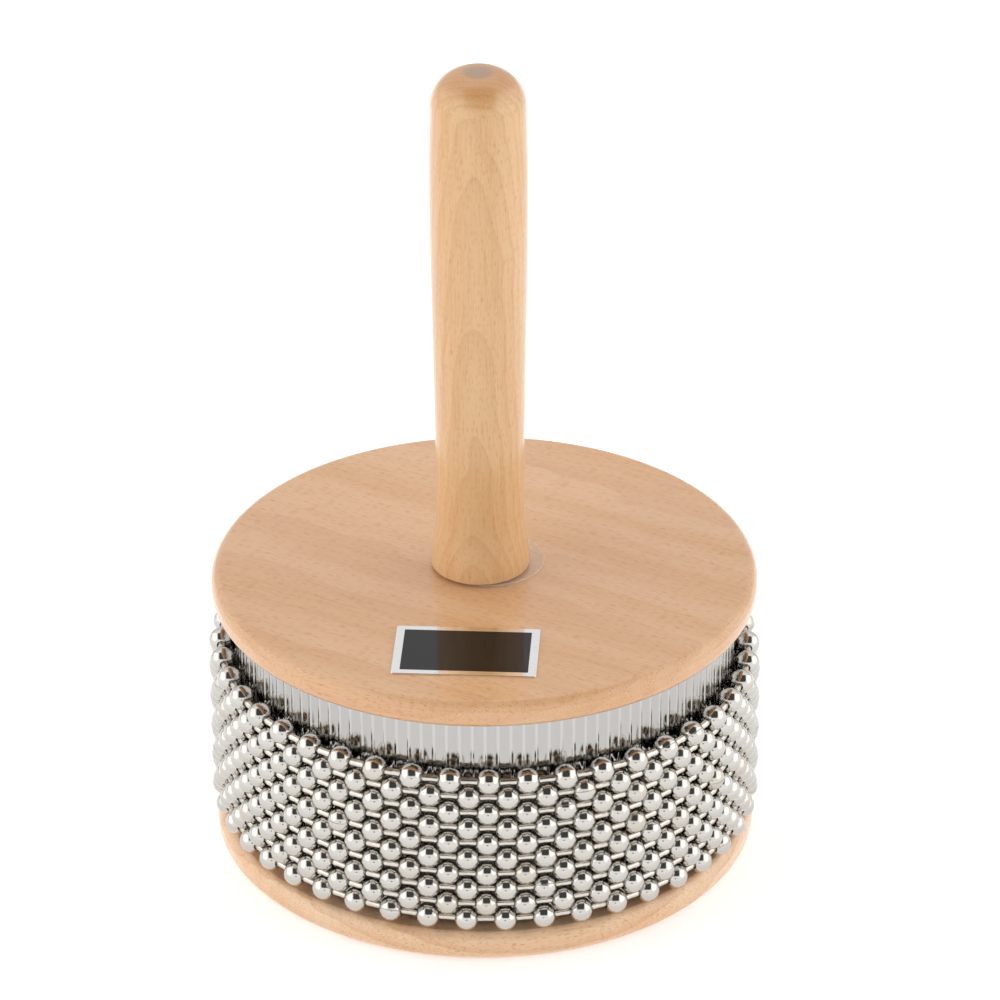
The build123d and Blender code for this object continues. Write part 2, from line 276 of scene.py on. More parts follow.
def turned(profile, segments, closed):
    """Surface of revolution about Z: a profile point (r, z) at angle a lies at (r cos a, r sin a, z).

    A closed profile runs up on the outside and down on the inside. An open one gets a flat cap at each end,
    a fan of triangles about a middle point.
    """
    profile = np.asarray(profile, float)
    radius, height = profile.T
    angle = np.arange(segments)[:, None] * 2 * pi / segments
    rows = np.broadcast_to(height, (segments, len(height)))
    points = np.stack([np.cos(angle) * radius, np.sin(angle) * radius, rows], -1).reshape(-1, 3)
    faces = [grid_faces(segments, len(profile), closed)]
    if not closed:
        points, fans = capped(points, len(profile), height[0], height[-1])
        faces += fans
    return points, faces


def capped(points, columns, low, high):
    """Middle points at two heights on the Z axis, and fans that close a tube's first and last column."""
    first = np.arange(0, len(points), columns)
    last = first + columns - 1
    middle = np.full(len(first), len(points))
    fans = [np.stack([middle, np.roll(first, -1), first], -1)]
    fans.append(np.stack([middle + 1, last, np.roll(last, -1)], -1))
    return np.vstack([points, [[0, 0, low], [0, 0, high]]]), fans


def copies(points, faces, axes, places):
    """Copies of one surface: every copy's point is its place plus its three axes times the point."""
    moved = np.einsum("bij,vj->bvi", axes, points) + places[:, None, :]
    offsets = np.arange(len(places))[:, None, None] * len(points)
    return moved.reshape(-1, 3), [(part[None] + offsets).reshape(-1, part.shape[1]) for part in faces]


def add_piece(
    name, points, faces, material, body, replaces=(), sharp=35.0, corner_map=None, values=None,
    normals=None,
):
    """Makes a mesh object at the origin from points and lists of faces, and puts it on its body."""
    corners = np.concatenate([part.ravel() for part in faces]).astype(np.int32)
    sides = np.concatenate([np.full(len(part), part.shape[1]) for part in faces])
    mesh = bpy.data.meshes.new(name)
    mesh.vertices.add(len(points))
    mesh.vertices.foreach_set("co", np.asarray(points, np.float32).ravel())
    mesh.loops.add(len(corners))
    mesh.loops.foreach_set("vertex_index", corners)
    mesh.polygons.add(len(sides))
    mesh.polygons.foreach_set("loop_start", (np.cumsum(sides) - sides).astype(np.int32))
    mesh.update(calc_edges=True)
    if mesh.validate():
        raise RuntimeError(f"{name} has broken faces")
    mesh.polygons.foreach_set("use_smooth", np.ones(len(sides), bool))
    mesh.set_sharp_from_angle(angle=radians(sharp))
    if normals is not None:
        mesh.normals_split_custom_set_from_vertices(normals)
    if corner_map is not None:
        mesh.uv_layers.new(name="surface").data.foreach_set("uv", corner_map.astype(np.float32).ravel())
    for key, numbers in (values or {}).items():
        mesh.attributes.new(key, "FLOAT", "POINT").data.foreach_set("value", numbers.astype(np.float32))
    mesh.materials.append(material)
    piece = bpy.data.objects.new(name, mesh)
    bpy.context.scene.collection.objects.link(piece)
    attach(piece, body)
    if replaces:
        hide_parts(*replaces)
    return piece


def corner_arc(centre_r, centre_z, radius, start_deg, end_deg, steps):
    """Points of an arc in the profile plane, from one direction to another."""
    angle = np.radians(np.linspace(start_deg, end_deg, steps))
    return np.stack([centre_r + radius * np.cos(angle), centre_z + radius * np.sin(angle)], -1)


def middle_of(node):
    """Middle of a node's box."""
    low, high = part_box(node)
    return (low + high) / 2


# Node trees

class Graph:
    """Adds nodes to a node tree and feeds their sockets with numbers or with other nodes' outputs."""

    def __init__(self, tree):
        self.tree = tree

    def add(self, kind, settings=None, sockets=None, out=0):
        made = self.tree.nodes.new(kind)
        for key, value in (settings or {}).items():
            setattr(made, key, value)
        for key, value in (sockets or {}).items():
            self.feed(made.inputs[key], value)
        return made.outputs[out]

    def feed(self, socket, value):
        if isinstance(value, bpy.types.NodeSocket):
            self.tree.links.new(value, socket)
        else:
            socket.default_value = value

    def math(self, operation, first, second=0.0, third=0.0):
        return self.add("ShaderNodeMath", {"operation": operation}, {0: first, 1: second, 2: third})

    def vector(self, operation, first, second=(0.0, 0.0, 0.0), out=0):
        return self.add("ShaderNodeVectorMath", {"operation": operation}, {0: first, 1: second}, out)

    def between(self, value, low, high, to_low=0.0, to_high=1.0):
        """Smooth step of a value from one level to another."""
        return self.add(
            "ShaderNodeMapRange",
            {"interpolation_type": "SMOOTHSTEP"},
            {"Value": value, "From Min": low, "From Max": high, "To Min": to_low, "To Max": to_high},
        )

    def mix(self, factor, first, second, blend="MIX"):
        return self.add(
            "ShaderNodeMix",
            {"data_type": "RGBA", "blend_type": blend},
            {0: factor, 6: first, 7: second},
            out=2,
        )

    def noise(self, vector, scale, detail=2.0, roughness=0.5, out=0):
        sockets = {"Vector": vector, "Scale": scale, "Detail": detail, "Roughness": roughness}
        return self.add("ShaderNodeTexNoise", None, sockets, out)

    def drift(self, vector, reach, detail):
        """Random offset across the grain, up to about half its reach each way."""
        offset = self.vector("SUBTRACT", self.noise(vector, 1.0, detail, out="Color"), (0.5, 0.5, 0.5))
        return self.vector("MULTIPLY", offset, (0.0, reach, reach))

    def attribute(self, name):
        """Value that the piece's mesh carries at its points."""
        return self.add("ShaderNodeAttribute", {"attribute_name": name}, out="Fac")

    def group(self, tree, sockets):
        """Outputs of a node group that is fed with values."""
        made = self.tree.nodes.new("ShaderNodeGroup")
        made.node_tree = tree
        for key, value in sockets.items():
            self.feed(made.inputs[key], value)
        return made.outputs


def rgba(colour):
    """Colour with full alpha."""
    return (*colour, 1.0)


def new_group(name, inputs, outputs):
    """Empty shader node group with named sockets, its graph, its input node and its output node."""
    tree = bpy.data.node_groups.new(name, "ShaderNodeTree")
    for key, kind in inputs:
        tree.interface.new_socket(key, in_out="INPUT", socket_type=kind)
    for key in outputs:
        tree.interface.new_socket(key, in_out="OUTPUT", socket_type="NodeSocketFloat")
    return Graph(tree), tree.nodes.new("NodeGroupInput").outputs, tree.nodes.new("NodeGroupOutput").inputs


def wood_group():
    """Figure of beech in a grain frame in millimetres, X along the grain.

    Rings are the fraction of the distance from the pith line over the ring spacing, flecks are stretched
    random cells, fibres and bands are stretched noise. A long and a short random drift make the grain wavy.
    """
    name = "beech_figure"
    if name in bpy.data.node_groups:
        return bpy.data.node_groups[name]
    number, triple = "NodeSocketFloat", "NodeSocketVector"
    graph, given, result = new_group(
        name,
        [("Grain", triple), ("Pith", triple), ("Spacing", number), ("Fleck", triple)],
        ["Rings", "Flecks", "Fibres", "Bands"],
    )
    slow = graph.vector("MULTIPLY", given["Grain"], (0.012, 0.05, 0.05))
    short = graph.vector("MULTIPLY", given["Grain"], (0.07, 0.12, 0.12))
    grain = graph.vector("ADD", given["Grain"], graph.drift(slow, 1.6, 2.0))
    grain = graph.vector("ADD", grain, graph.drift(short, 1.5, 1.0))
    across = graph.vector("MULTIPLY", graph.vector("SUBTRACT", grain, given["Pith"]), (0.0, 1.0, 1.0))
    distance = graph.vector("LENGTH", across, out="Value")
    uneven = graph.math("MULTIPLY", graph.noise(slow, 3.0, 1.0), 0.5)
    count = graph.math("ADD", graph.math("DIVIDE", distance, given["Spacing"]), uneven)
    share = graph.math("FRACT", count)
    late = graph.math("POWER", graph.math("SUBTRACT", 1.0, share), 2.5)
    graph.feed(result["Rings"], graph.math("MULTIPLY", late, graph.between(share, 0.0, 0.05)))
    cells = graph.vector("DIVIDE", grain, given["Fleck"])
    spot = graph.tree.nodes.new("ShaderNodeTexVoronoi")
    graph.feed(spot.inputs["Vector"], cells)
    graph.feed(spot.inputs["Scale"], 1.0)
    lot = graph.add("ShaderNodeSeparateColor", None, {0: spot.outputs["Color"]})
    body = graph.between(spot.outputs["Distance"], 0.5, 0.2)
    strength = graph.math("POWER", lot, 1.8)
    graph.feed(result["Flecks"], graph.math("MULTIPLY", body, strength))
    threads = graph.vector("MULTIPLY", grain, (0.06, 2.6, 2.6))
    graph.feed(result["Fibres"], graph.noise(threads, 1.0, 3.0, 0.6))
    broad = graph.vector("MULTIPLY", grain, (0.006, 0.09, 0.09))
    graph.feed(result["Bands"], graph.noise(broad, 1.0, 2.0))
    return graph.tree


def wear_group():
    """Handling marks on metal from a place in millimetres: soft smudges and fine specks, as noise."""
    name = "handling_marks"
    if name in bpy.data.node_groups:
        return bpy.data.node_groups[name]
    graph, given, result = new_group(name, [("Place", "NodeSocketVector")], ["Smudges", "Specks"])
    graph.feed(result["Smudges"], graph.between(graph.noise(given["Place"], 0.12, 3.0), 0.4, 0.7))
    graph.feed(result["Specks"], graph.between(graph.noise(given["Place"], 2.2, 2.0), 0.58, 0.72))
    return graph.tree


def start_material(name):
    """New material with a Principled shader, its graph and the shader's sockets."""
    material = bpy.data.materials.new(name)
    material.use_nodes = True
    shader = material.node_tree.nodes["Principled BSDF"]
    return material, Graph(material.node_tree), shader.inputs


def place_in_mm(graph, stretch=(1.0, 1.0, 1.0)):
    """Object coordinates in millimetres, stretched along the axes."""
    place = graph.add("ShaderNodeTexCoord", out="Object")
    return graph.vector("MULTIPLY", place, tuple(1000.0 * factor for factor in stretch))


def wood_material(
    name, colours, rotation, pith, spacing, fleck, ring_depth, fleck_depth, lacquer, end_colour=None
):
    """Beech with its rings, flecks, fibres and bands under a satin lacquer, and end grain where asked."""
    material, graph, shader = start_material(name)
    place = place_in_mm(graph)
    grain = graph.add("ShaderNodeMapping", None, {"Vector": place, "Rotation": rotation})
    figure = graph.group(wood_group(), {"Grain": grain, "Pith": pith, "Spacing": spacing, "Fleck": fleck})
    main, pale, dark = (rgba(colour) for colour in colours)
    colour = graph.mix(graph.between(figure["Bands"], 0.35, 0.65), main, pale)
    fibre = graph.between(figure["Fibres"], 0.3, 0.7, 0.0, 0.6)
    colour = graph.mix(fibre, colour, pale)
    colour = graph.mix(graph.between(figure["Fibres"], 0.47, 0.3, 0.0, 0.2), colour, dark)
    colour = graph.mix(graph.math("MULTIPLY", figure["Rings"], ring_depth), colour, dark)
    colour = graph.mix(graph.math("MULTIPLY", figure["Flecks"], fleck_depth), colour, dark)
    if end_colour:
        end_grain = graph.attribute("end_grain")
        colour = graph.mix(graph.between(end_grain, 0.3, 0.9, 0.0, 0.45), colour, dark)
        colour = graph.mix(graph.between(end_grain, 0.961, 0.98, 0.0, 0.8), colour, end_colour)
    graph.feed(shader["Base Color"], colour)
    graph.feed(shader["Roughness"], graph.between(figure["Fibres"], 0.2, 0.8, lacquer, lacquer + 0.12))
    pores = graph.math("MULTIPLY", figure["Flecks"], -1.0)
    height = graph.math("ADD", pores, graph.math("MULTIPLY", figure["Fibres"], 0.5))
    bump = graph.add("ShaderNodeBump", None, {"Strength": 0.12, "Distance": 0.00004, "Height": height})
    graph.feed(shader["Normal"], bump)
    shader["Specular IOR Level"].default_value = 0.3
    shader["Coat Weight"].default_value = 0.85
    shader["Coat Roughness"].default_value = 0.13
    return material


def metal_material(name, colour, roughness, stretch=(1.0, 1.0, 1.0), marks=0.08):
    """Plain metal with smudges and specks in its gloss and tone."""
    material, graph, shader = start_material(name)
    wear = graph.group(wear_group(), {"Place": place_in_mm(graph, stretch)})
    darker = rgba([0.72 * part for part in colour])
    tone = graph.math("MULTIPLY", wear["Specks"], 0.35)
    graph.feed(shader["Base Color"], graph.mix(tone, rgba(colour), darker))
    gloss = graph.between(wear["Smudges"], 0.0, 1.0, roughness, roughness + marks)
    graph.feed(shader["Roughness"], gloss)
    shader["Metallic"].default_value = 1.0
    return material


def bead_material(settings):
    """Polished nickel: worn beads are duller and warmer, and a thin dark seam runs along some beads."""
    material, graph, shader = start_material("bead_nickel")
    tone = graph.attribute("tone")
    surface = graph.add("ShaderNodeUVMap", {"uv_map": "surface"})
    around = graph.add("ShaderNodeSeparateXYZ", None, {0: surface})
    off_seam = graph.math("ABSOLUTE", graph.math("SUBTRACT", around, 0.5))
    seam = graph.math("MULTIPLY", graph.between(off_seam, 0.012, 0.003), graph.attribute("seam"))
    wear = graph.group(wear_group(), {"Place": place_in_mm(graph)})
    colour = graph.mix(tone, rgba(settings.colour), rgba(settings.dull_colour))
    colour = graph.mix(graph.math("MULTIPLY", wear["Specks"], 0.2), colour, rgba(settings.dull_colour))
    colour = graph.mix(graph.math("MULTIPLY", seam, 0.5), colour, (0.12, 0.105, 0.09, 1.0))
    graph.feed(shader["Base Color"], colour)
    dull = graph.math("MULTIPLY", tone, 0.12)
    smudge = graph.math("MULTIPLY", wear["Smudges"], 0.05)
    rough = graph.math("ADD", graph.math("ADD", dull, smudge), graph.math("MULTIPLY", seam, 0.3))
    graph.feed(shader["Roughness"], graph.math("ADD", rough, 0.09))
    shader["Metallic"].default_value = 1.0
    return material


# Pieces

class CABASA_OT_discs(bpy.types.Operator):
    """Models the two end discs as turned boards with rounded rims"""
    bl_idname = "cabasa.discs"
    bl_label = "End discs"

    def execute(self, context):
        settings = context.scene.cabasa_discs
        colours = (settings.colour, settings.pale_colour, settings.fleck_colour)
        lower_colours = (settings.lower_colour, settings.lower_pale_colour, settings.fleck_colour)
        top = wood_material(
            "disc_beech_top", colours, rotation=(0.0, 0.0, -settings.grain_turn), pith=(0.0, 18.0, -70.0),
            spacing=4.6, fleck=(2.4, 0.22, 0.3), ring_depth=0.16, fleck_depth=0.75, lacquer=0.34,
        )
        bottom = wood_material(
            "disc_beech_bottom", lower_colours, rotation=(0.0, 0.0, -settings.lower_grain_turn),
            pith=(0.0, -25.0, -60.0), spacing=4.2, fleck=(1.7, 0.22, 0.34), ring_depth=0.3, fleck_depth=0.62,
            lacquer=0.36,
        )
        self.board(settings, "top_disc", top, False)
        self.board(settings, "bottom_disc", bottom, True)
        return {"FINISHED"}

    def board(self, settings, node, material, recessed):
        """Closed profile from the bolt hole out along the underside, round the rim and back over the top.

        The rim has a plain band between its two rounded edges. The upper rounding is an arc from the fine
        line on the rim up to a faint crease at the flat top.
        """
        low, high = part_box(node)
        edge = settings.edge_round
        hole = settings.hole_radius
        inner = settings.radius - edge
        start = [(hole, low.z)]
        if recessed:
            ceiling = low.z + settings.recess_depth
            start = [(hole, ceiling), (settings.recess_radius, ceiling), (settings.recess_radius, low.z)]
        lower_rim = corner_arc(inner, low.z + edge, edge, -90, 0, 12)
        start_deg, end_deg = degrees(settings.quirk_rise), 90 - degrees(settings.crease)
        upper_rim = corner_arc(inner, high.z - edge * cos(settings.crease), edge, start_deg, end_deg, 12)
        line_height = upper_rim[0, 1]
        line = [
            (settings.radius, line_height - settings.quirk_width),
            (settings.radius - settings.quirk, line_height),
        ]
        inset = [(inner - edge, low.z)], [(inner - edge, high.z)]
        profile = np.vstack([start, inset[0], lower_rim, line, upper_rim, inset[1], [(hole, high.z)]])
        points, faces = turned(profile, STEPS["board"], True)
        add_piece(node + "_board", points, faces, material, DRUM, [node], sharp=10.0)


class CABASA_OT_handle(bpy.types.Operator):
    """Models the turned handle"""
    bl_idname = "cabasa.handle"
    bl_label = "Handle"

    def execute(self, context):
        settings = context.scene.cabasa_handle
        colours = (settings.colour, settings.pale_colour, settings.fleck_colour)
        material = wood_material(
            "handle_beech", colours, rotation=(0.0, radians(90.0), radians(3.5)), pith=(0.0, 31.7, -2.7),
            spacing=1.5, fleck=(2.0, 0.22, 0.22), ring_depth=0.22, fleck_depth=0.5, lacquer=0.34,
            end_colour=rgba(settings.end_colour),
        )
        low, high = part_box("handle")
        points, faces = turned(self.profile(settings, low.z, high.z), STEPS["handle"], False)
        # Share of the way up the rounded end, a little less towards the edge of its flat
        end = np.clip(1 + (points[:, 2] - high.z) / settings.end_round, 0.0, 1.0)
        end -= 0.04 * np.hypot(points[:, 0], points[:, 1]) / settings.flat_radius
        points[:, 0] -= settings.off_axis
        add_piece(
            "handle_turned", points, faces, material, DRUM, ["handle"],
            values={"end_grain": end},
        )
        return {"FINISHED"}

    def profile(self, settings, foot, top):
        """Foot rounding, upright-ended cubics through foot, waist, swell and end, an arc to the flat."""
        centre = settings.end_radius - settings.end_round
        reach = acos((settings.flat_radius - centre) / settings.end_round)
        end_base = top - settings.end_round * sin(reach)
        knots = [
            (settings.foot_radius, foot + settings.foot_round),
            (settings.waist_radius, foot + settings.waist_height),
            (settings.swell_radius, top - settings.swell_below_top),
            (settings.end_radius, end_base),
        ]
        flank = [upright_span(start, end, 16)[1:] for start, end in zip(knots, knots[1:])]
        edge = settings.foot_round
        foot_arc = corner_arc(settings.foot_radius - edge, foot + edge, edge, -90, 0, 7)
        end_arc = corner_arc(centre, end_base, settings.end_round, 0, degrees(reach), 16)
        return np.vstack([foot_arc, *flank, end_arc[1:]])


def upright_span(start, end, steps):
    """Profile points between two (radius, height) pairs; the radius eases as 3 s squared less 2 s cubed."""
    share = np.linspace(0, 1, steps)
    ease = 3 * share ** 2 - 2 * share ** 3
    return np.stack([start[0] + (end[0] - start[0]) * ease, start[1] + (end[1] - start[1]) * share], -1)


class CABASA_OT_sleeve(bpy.types.Operator):
    """Models the ribbed steel sleeve with its seam, and the tacks along the seam"""
    bl_idname = "cabasa.sleeve"
    bl_label = "Ribbed sleeve"

    def execute(self, context):
        settings = context.scene.cabasa_sleeve
        low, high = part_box("ribbed_sleeve")
        steel = self.steel(settings)
        angle, outside, crest = self.outline(settings)
        inside = outside - settings.sheet
        radius = np.stack([outside, outside, inside, inside], -1)
        height = np.broadcast_to([low.z, high.z, high.z, low.z], radius.shape)
        around = angle[:, None]
        points = np.stack([np.cos(around) * radius, np.sin(around) * radius, height], -1).reshape(-1, 3)
        quads = grid_faces(len(angle), 4, True)[:-4]
        ends = np.array([[3, 2, 1, 0], [0, 1, 2, 3]])
        ends[1] += len(points) - 4
        add_piece(
            "sleeve_sheet", points, [quads, ends], steel, DRUM, ["ribbed_sleeve"],
            values={"crest": np.repeat(crest, 4)},
        )
        self.tacks(settings, context.scene.cabasa_trim)
        return {"FINISHED"}

    def steel(self, settings):
        """Bright steel with fine upright streaks, a painted highlight on the ribs' crests, and painted shade
        on the sheet behind the chains.
        """
        material, graph, shader = start_material("sleeve_steel")
        place = place_in_mm(graph)
        height = graph.vector("DOT_PRODUCT", place, (0.02, 0.0, 1.0), out="Value")
        streaks = graph.noise(graph.vector("MULTIPLY", place, (1.6, 1.6, 0.02)), 1.0, 3.0)
        # This darker colour serves both the real upright streaks and the painted shade behind the chains
        streak_and_shade_colour = rgba([settings.chain_shade * part for part in settings.colour])
        clean = graph.mix(graph.between(streaks, 0.35, 0.7, 0.0, 0.12), rgba(settings.colour), streak_and_shade_colour)
        # Painted highlight: the crests are painted lighter as the bright reflected line along each rib
        crest = graph.between(graph.attribute("crest"), 0.1, 1.0)
        clean = graph.mix(crest, clean, rgba(settings.crest_highlight_colour))
        # Painted shade: the sheet is darkened up to the top of the chain loops, standing for the shade
        # between and behind the beads
        top = settings.chain_shade_top / MM
        chain_shaded = graph.between(height, top, top - settings.chain_shade_fade / MM)
        graph.feed(shader["Base Color"], graph.mix(chain_shaded, clean, streak_and_shade_colour))
        graph.feed(shader["Roughness"], graph.between(streaks, 0.3, 0.7, 0.08, 0.15))
        bump = graph.add("ShaderNodeBump", None, {"Strength": 0.2, "Distance": 0.00003, "Height": streaks})
        graph.feed(shader["Normal"], bump)
        shader["Metallic"].default_value = 1.0
        return material

    def outline(self, settings):
        """Angles round the sleeve from seam side to seam side, each with its radius and rib share.

        With s from -1/2 to 1/2 between two ribs, the sheet lies below the crest by the rib's height plus the
        bow times 4 s squared. A rib is one wave of a raised cosine on it, up to the crest.
        """
        land = settings.crest_radius - settings.land_drop
        slit = settings.seam_gap / 2 / land
        margin = slit + settings.seam_margin / land
        span = 2 * pi - 2 * margin
        ribs = round(span * settings.crest_radius / settings.rib_pitch)
        half = settings.rib_width / 2 / settings.rib_pitch
        flank = half * np.array([0.0, 0.16, 0.33, 0.5, 0.67, 0.84, 1.0])
        across = np.concatenate([flank - 0.5, [-0.2, 0.0, 0.2], 0.5 - flank[:0:-1]])
        rise = np.clip((np.abs(across) - 0.5 + half) / half, 0.0, 1.0)
        wave = (1 - np.cos(pi * rise)) / 2
        bowed = settings.bow * 4 * across ** 2
        drop = (settings.rib_height + bowed) * (1 - wave)
        middles = pi / 2 + margin + (np.arange(ribs) + 0.5) * span / ribs
        angle = (middles[:, None] + across[None, :] * span / ribs).ravel()
        radius = np.tile(settings.crest_radius - drop, ribs)
        last = pi / 2 + 2 * pi - margin
        angle = np.concatenate([[pi / 2 + slit], angle, [last, pi / 2 + 2 * pi - slit]])
        crest = np.concatenate([[0.0], np.tile(wave, ribs), [0.0, 0.0]])
        return angle, np.concatenate([[land], radius, [settings.crest_radius, land]]), crest

    def tacks(self, settings, trim):
        """Low domed heads that point straight out, in two rows beside the seam."""
        land = settings.crest_radius - settings.land_drop
        low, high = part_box("sleeve_tacks")
        radius = settings.tack_radius
        heights = np.linspace(low.z + radius, high.z - radius, settings.tack_rows)
        beside = (settings.seam_gap + settings.seam_margin) / 2 / land
        angle = np.repeat([pi / 2 - beside, pi / 2 + beside], settings.tack_rows)
        height = np.tile(heights, 2)
        top = settings.tack_height
        profile = [(0.4 * radius, -2 * MM), (0.4 * radius, 0), (radius, 0), (0.97 * radius, 0.4 * top)]
        profile += [(0.8 * radius, 0.75 * top), (0.45 * radius, 0.96 * top)]
        points, faces = turned(profile, STEPS["tack"], False)
        out = np.stack([np.cos(angle), np.sin(angle), np.zeros_like(angle)], -1)
        along = np.stack([-np.sin(angle), np.cos(angle), np.zeros_like(angle)], -1)
        up = np.broadcast_to([0.0, 0.0, 1.0], out.shape)
        lift = 0.05 * MM
        places = out * (land + lift) + up * height[:, None]
        points, faces = copies(points, faces, np.stack([along, up, out], -1), places)
        steel = metal_material("tack_steel", trim.steel_colour, 0.25)
        add_piece("sleeve_tack_heads", points, faces, steel, DRUM, ["sleeve_tacks"])


class CABASA_OT_chains(bpy.types.Operator):
    """Models the beads and the links of every loop of ball chain"""
    bl_idname = "cabasa.chains"
    bl_label = "Ball chain loops"

    def execute(self, context):
        settings = context.scene.cabasa_chains
        nickel = bead_material(settings)
        link_metal = metal_material("link_nickel", settings.link_colour, 0.2)
        bead = self.bead(settings)
        link = self.link(settings)
        random = np.random.default_rng(settings.seed)
        for row, body in enumerate(LOOP_BODIES):
            chain = "chain_" + body[-2:]
            self.loop(settings, chain, body, row, bead, link, (nickel, link_metal), random)
        return {"FINISHED"}

    def bead(self, settings):
        """Turned bead: an arc between its two cut ends, their lips, and the hole through it.

        Its normals point straight away from its middle, as on a true ball.
        """
        end = settings.hole_radius + settings.lip
        half = sqrt(settings.bead_radius ** 2 - end ** 2)
        reach = degrees(asin(half / settings.bead_radius))
        arc = corner_arc(0.0, 0.0, settings.bead_radius, -reach, reach, 7)
        profile = np.vstack([[(settings.hole_radius, -half)], arc, [(settings.hole_radius, half)]])
        points, faces = turned(profile, STEPS["bead"], True)
        normals = points / np.linalg.norm(points, axis=1, keepdims=True)
        return points, faces, grid_map(STEPS["bead"], len(profile), True), normals

    def link(self, settings):
        """Turned rod that goes into the holes of two beads, with a small waist in its middle."""
        span = 2 * settings.ring_radius * sin(pi / settings.beads)
        end = settings.hole_radius + settings.lip
        half = span / 2 - sqrt(settings.bead_radius ** 2 - end ** 2) + settings.link_reach
        rod = settings.link_radius
        side = [(rod, half), (rod, 0.3 * half), (0.96 * rod, 0.1 * half)]
        profile = [(radius, -height) for radius, height in side] + side[::-1]
        return turned(profile, STEPS["link"], False)

    def loop(self, settings, chain, body, row, bead, link, materials, random):
        """One loop: beads on its circle, links on the chords between them.

        The angle t from the front bead grows in equal steps, and a bead lies at t less the bunching times
        sin t.
        """
        angle = ((row % 2) / 2 + np.arange(settings.beads)) * 2 * pi / settings.beads
        bead_angle = settings.first_turn - row * settings.row_turn + angle - settings.bunch * np.sin(angle)
        share = row / (len(LOOP_BODIES) - 1)
        lean = settings.lean * (1 - 0.4 * share)
        height = middle_of(chain + "_beads").z + settings.lift * share - lean * np.cos(bead_angle)
        waves = random.uniform(0, 2 * pi, 2)
        sway = 0.6 * np.sin(2 * bead_angle + waves[0]) + 0.4 * np.sin(5 * bead_angle + waves[1])
        height += settings.sway * sway
        radius = settings.ring_radius
        places = np.stack([radius * np.cos(bead_angle), radius * np.sin(bead_angle), height], -1)
        roll = pi + random.uniform(-1.2, 1.2, settings.beads)
        loose = random.uniform(size=settings.beads) < settings.loose
        roll[loose] = random.uniform(-pi, pi, loose.sum())
        tone = 0.12 * random.uniform(size=settings.beads)
        worn = random.uniform(size=settings.beads) < settings.worn
        tone[worn] = random.uniform(0.2, 0.45, worn.sum())
        seam = (random.uniform(size=settings.beads) < settings.seamed).astype(float)
        axes = chain_axes(bead_angle, roll)
        points, faces = copies(bead[0], bead[1], axes, places)
        normals, _ = copies(bead[3], bead[1], axes, np.zeros_like(places))
        add_piece(
            chain + "_bead_row", points, faces, materials[0], body, [chain + "_beads"],
            sharp=50.0, corner_map=np.tile(bead[2], (settings.beads, 1)), normals=normals,
            values={"tone": np.repeat(tone, len(bead[0])), "seam": np.repeat(seam, len(bead[0]))},
        )
        link_angle = (bead_angle + np.append(bead_angle[1:], bead_angle[0] + 2 * pi)) / 2
        link_places = (places + np.roll(places, -1, axis=0)) / 2
        link_axes = chain_axes(link_angle, np.zeros(settings.beads))
        points, faces = copies(link[0], link[1], link_axes, link_places)
        add_piece(
            chain + "_link_row", points, faces, materials[1], body, [chain + "_links"],
            sharp=60.0,
        )


def chain_axes(angle, roll):
    """Axes of pieces along a loop: outwards and upwards, rolled, and Z backwards along the loop."""
    flat = np.zeros_like(angle)
    out = np.stack([np.cos(angle), np.sin(angle), flat], -1)
    up = np.stack([flat, flat, flat + 1], -1)
    back = np.stack([np.sin(angle), -np.cos(angle), flat], -1)
    turn_cos, turn_sin = np.cos(roll)[:, None], np.sin(roll)[:, None]
    return np.stack([out * turn_cos + up * turn_sin, up * turn_cos - out * turn_sin, back], -1)


